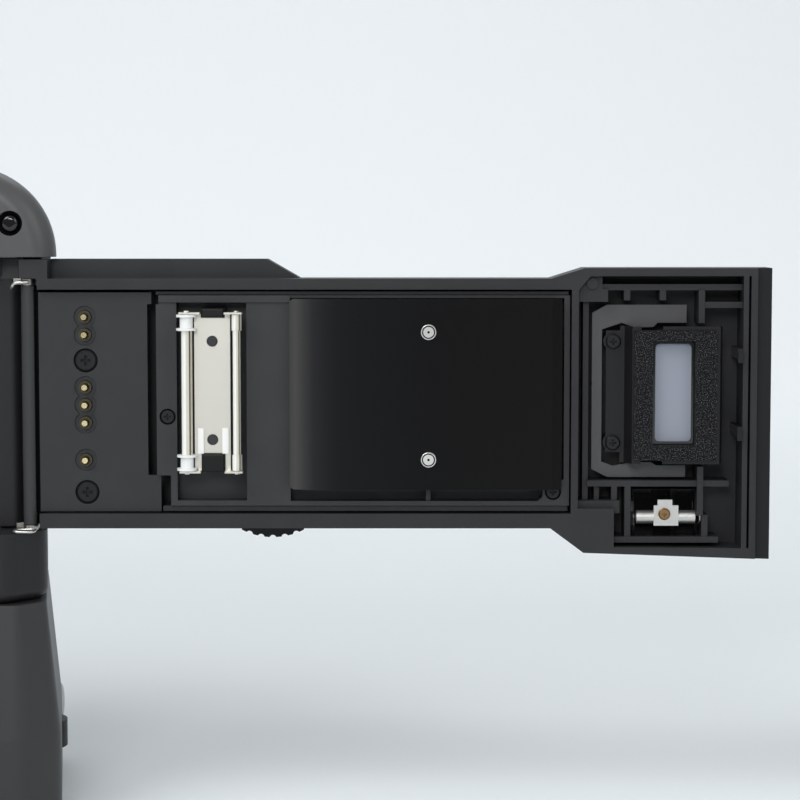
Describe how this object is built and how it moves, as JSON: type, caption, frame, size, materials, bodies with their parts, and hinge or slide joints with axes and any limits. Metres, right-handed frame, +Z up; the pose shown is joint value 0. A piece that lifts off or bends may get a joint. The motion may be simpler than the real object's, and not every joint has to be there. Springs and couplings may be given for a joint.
{
  "type": "35 mm press camera with battery booster",
  "caption": "Film single lens reflex camera on a battery booster, with its hinged film back, pressure plate, guide rollers, controls, mirror and film chambers.",
  "frame": {"origin": "mouth of the tripod socket in the booster's base, below the optical axis", "axes": "+Z up, +Y towards the lens, +X towards the right-hand grip and the film back's hinge"},
  "size_m": [0.3217, 0.0739, 0.1619],
  "materials": {
    "dark_cast": "matt black painted casting",
    "black_plastic": "fine matt black",
    "charcoal_plastic": "satin charcoal",
    "grey_plastic": "satin grey",
    "gloss_black": "gloss black",
    "black_rubber": "grained rubber",
    "black_foam": "black foam",
    "black_metal": "blackened metal",
    "steel": "brushed",
    "nickel": "nickel plated",
    "chrome": "polished",
    "gold": "gold plated",
    "window_glass": "clear tinted",
    "optical_glass": "clear",
    "mirror": "front silvered",
    "cell": "plain wrapped cells",
    "white_plastic": "matt white"
  },
  "bodies": {
    "camera": {"chassis": "dark_cast", "film_rails": "steel", "body_contacts": "gold", "shutter_frame": "black_metal", "shutter_blades": "dark_cast", "mirror_box": "black_plastic", "focusing_screen": "optical_glass", "pentaprism": "optical_glass", "body_casing": "black_plastic", "hinge_pin": "steel", "top_cover": "charcoal_plastic", "prism_hood": "charcoal_plastic", "hot_shoe": "steel", "eyepiece": "optical_glass", "eyecup": "black_rubber", "lens_mount": "chrome", "grip_shell": "black_plastic", "grip_rubber": "black_rubber", "display_window": "gloss_black", "base_cover": "charcoal_plastic", "booster_case": "grey_plastic", "tripod_bush": "steel"},
    "back_door": {"door_shell": "charcoal_plastic", "contact_panel": "charcoal_plastic", "pin_bushes": "black_metal", "inner_panel": "grey_plastic", "door_screws": "black_metal", "roller_clips": "black_rubber", "cartridge_guard": "grey_plastic", "cartridge_spring": "black_metal", "window_foam": "black_foam", "film_window": "window_glass", "end_spring": "chrome", "latch_catches": "steel", "thumb_rest": "black_rubber"},
    "contact_pins": {"contact_pins": "gold"},
    "pressure_plate": {"pressure_plate": "black_metal", "plate_rivets": "steel", "plate_spring": "steel"},
    "film_guide": {"roller_bracket": "nickel"},
    "flanged_roller": {"flanged_roller": "white_plastic"},
    "plain_roller": {"plain_roller": "steel"},
    "control_dial": {"control_dial": "black_plastic"},
    "take_up_spool": {"take_up_spool": "black_plastic"},
    "rewind_fork": {"rewind_fork": "black_metal"},
    "reflex_mirror": {"reflex_mirror": "mirror"},
    "latch_slider": {"latch_slider": "charcoal_plastic"},
    "release_button": {"release_button": "gloss_black"},
    "finger_wheel": {"finger_wheel": "black_plastic"},
    "shoulder_button": {"shoulder_button": "gloss_black"},
    "shoulder_button_inner": {"shoulder_button_inner": "gloss_black"},
    "mode_button": {"mode_button": "gloss_black"},
    "drive_button": {"drive_button": "gloss_black"},
    "lens_release": {"lens_release": "gloss_black"},
    "battery_tray": {"battery_tray": "black_plastic", "battery_cells": "cell"},
    "tray_knob": {"tray_knob": "charcoal_plastic"},
    "booster_release": {"booster_release": "gloss_black"},
    "booster_wheel": {"booster_wheel": "black_plastic"},
    "booster_switch": {"booster_switch": "black_plastic"}
  },
  "joints": [
    {"name": "back_door_hinge", "type": "hinge", "parent": "camera", "child": "back_door", "pos_m": [0.084, -0.017, 0.09], "axis": [0, 0, 1], "range_deg": [-180, 0]},
    {"name": "contact_pin_press", "type": "slide", "parent": "back_door", "child": "contact_pins", "axis": [0, 1, 0], "range_m": [0, 0.0008], "stiffness_N_per_m": 300},
    {"name": "pressure_plate_press", "type": "slide", "parent": "back_door", "child": "pressure_plate", "axis": [0, 1, 0], "range_m": [0, 0.0006], "stiffness_N_per_m": 400},
    {"name": "film_guide_press", "type": "slide", "parent": "back_door", "child": "film_guide", "axis": [0, 1, 0], "range_m": [0, 0.0008], "stiffness_N_per_m": 300},
    {"name": "flanged_roller_spin", "type": "hinge", "parent": "film_guide", "child": "flanged_roller", "pos_m": [0.1176, -0.0227, 0.09], "axis": [0, 0, 1], "continuous": true},
    {"name": "plain_roller_spin", "type": "hinge", "parent": "film_guide", "child": "plain_roller", "pos_m": [0.128, -0.0227, 0.09], "axis": [0, 0, 1], "continuous": true},
    {"name": "control_dial_spin", "type": "hinge", "parent": "back_door", "child": "control_dial", "pos_m": [0.1346, -0.006, 0.0731], "axis": [0, 1, 0], "continuous": true},
    {"name": "take_up_spool_spin", "type": "hinge", "parent": "camera", "child": "take_up_spool", "pos_m": [0.0575, -0.0012, 0.09], "axis": [0, 0, 1], "continuous": true},
    {"name": "rewind_fork_spin", "type": "hinge", "parent": "camera", "child": "rewind_fork", "pos_m": [-0.0525, -0.001, 0.112], "axis": [0, 0, 1], "continuous": true},
    {"name": "mirror_lift", "type": "hinge", "parent": "camera", "child": "reflex_mirror", "pos_m": [0, -0.0005, 0.106], "axis": [1, 0, 0], "range_deg": [0, 45], "stiffness_Nm_per_rad": 0.002},
    {"name": "latch_slide", "type": "slide", "parent": "camera", "child": "latch_slider", "axis": [0, 0, -1], "range_m": [0, 0.003], "stiffness_N_per_m": 200},
    {"name": "release_press", "type": "slide", "parent": "camera", "child": "release_button", "axis": [0, 0, -1], "range_m": [0, 0.0008], "stiffness_N_per_m": 400},
    {"name": "finger_wheel_spin", "type": "hinge", "parent": "camera", "child": "finger_wheel", "pos_m": [0.065, 0.023, 0.1264], "axis": [1, 0, 0], "continuous": true},
    {"name": "shoulder_button_press", "type": "slide", "parent": "camera", "child": "shoulder_button", "axis": [0, 1, 0], "range_m": [0, 0.0006], "stiffness_N_per_m": 300},
    {"name": "shoulder_button_inner_press", "type": "slide", "parent": "camera", "child": "shoulder_button_inner", "axis": [0, 1, 0], "range_m": [0, 0.0006], "stiffness_N_per_m": 300},
    {"name": "mode_button_press", "type": "slide", "parent": "camera", "child": "mode_button", "axis": [0, 0, -1], "range_m": [0, 0.0008], "stiffness_N_per_m": 300},
    {"name": "drive_button_press", "type": "slide", "parent": "camera", "child": "drive_button", "axis": [0, 0, -1], "range_m": [0, 0.0008], "stiffness_N_per_m": 300},
    {"name": "lens_release_press", "type": "slide", "parent": "camera", "child": "lens_release", "axis": [0, -1, 0], "range_m": [0, 0.0015], "stiffness_N_per_m": 300},
    {"name": "battery_tray_slide", "type": "slide", "parent": "camera", "child": "battery_tray", "axis": [-1, 0, 0], "range_m": [0, 0.135]},
    {"name": "tray_knob_turn", "type": "hinge", "parent": "battery_tray", "child": "tray_knob", "pos_m": [-0.076, -0.00075, 0.0235], "axis": [1, 0, 0], "range_deg": [0, 90]},
    {"name": "booster_release_press", "type": "slide", "parent": "camera", "child": "booster_release", "axis": [-1, 0, 0], "range_m": [0, 0.0008], "stiffness_N_per_m": 400},
    {"name": "booster_wheel_spin", "type": "hinge", "parent": "camera", "child": "booster_wheel", "pos_m": [0.0789, 0.0184, 0.01], "axis": [0, 0, 1], "continuous": true},
    {"name": "booster_switch_turn", "type": "hinge", "parent": "camera", "child": "booster_switch", "pos_m": [0.07, -0.027, 0.022], "axis": [0, 1, 0], "range_deg": [0, 60]}
  ]
}
